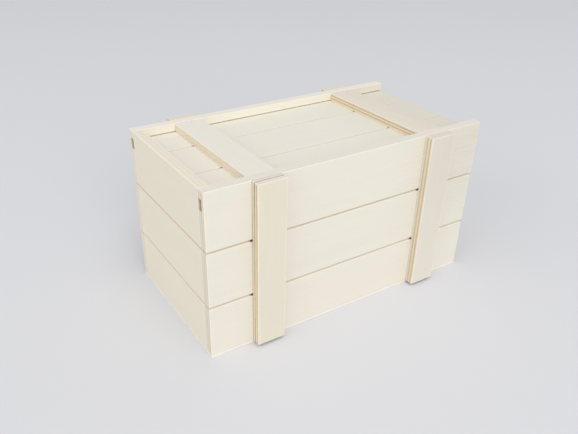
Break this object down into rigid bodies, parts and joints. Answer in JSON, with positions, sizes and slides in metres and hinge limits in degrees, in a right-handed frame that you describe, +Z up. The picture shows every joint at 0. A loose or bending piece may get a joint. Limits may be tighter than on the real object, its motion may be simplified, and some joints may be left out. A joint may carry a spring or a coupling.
{
  "type": "sliding lid wooden crate box",
  "caption": "Crate-style plywood box with upright battens, grooved walls and a battened lid that slides off over its lower end wall.",
  "frame": {"origin": "middle of the footprint, on the underside that the box stands on", "axes": "+X along the box towards the open end, +Y towards the back, +Z up"},
  "size_m": [0.3, 0.175, 0.164],
  "materials": {
    "wall_plywood": "bare, lightly sanded",
    "lid_plywood": "bare, lightly sanded",
    "batten_plywood": "bare, lightly sanded",
    "bottom_plywood": "bare",
    "brad_steel": "bright wire"
  },
  "bodies": {
    "box": {"front_wall": "wall_plywood", "back_wall": "wall_plywood", "closed_end_wall": "wall_plywood", "open_end_wall": "wall_plywood", "bottom_panel": "bottom_plywood", "bottom_brads": "brad_steel", "front_batten_left": "batten_plywood", "front_batten_right": "batten_plywood", "back_batten_left": "batten_plywood", "back_batten_right": "batten_plywood", "front_batten_left_brads": "brad_steel", "front_batten_right_brads": "brad_steel", "back_batten_left_brads": "brad_steel", "back_batten_right_brads": "brad_steel"},
    "lid": {"lid_panel": "lid_plywood", "lid_batten_left": "batten_plywood", "lid_batten_right": "batten_plywood", "lid_batten_left_brads": "brad_steel", "lid_batten_right_brads": "brad_steel"}
  },
  "joints": [
    {"name": "lid_slide", "type": "slide", "parent": "box", "child": "lid", "axis": [1, 0, 0], "range_m": [0, 0.3]}
  ]
}
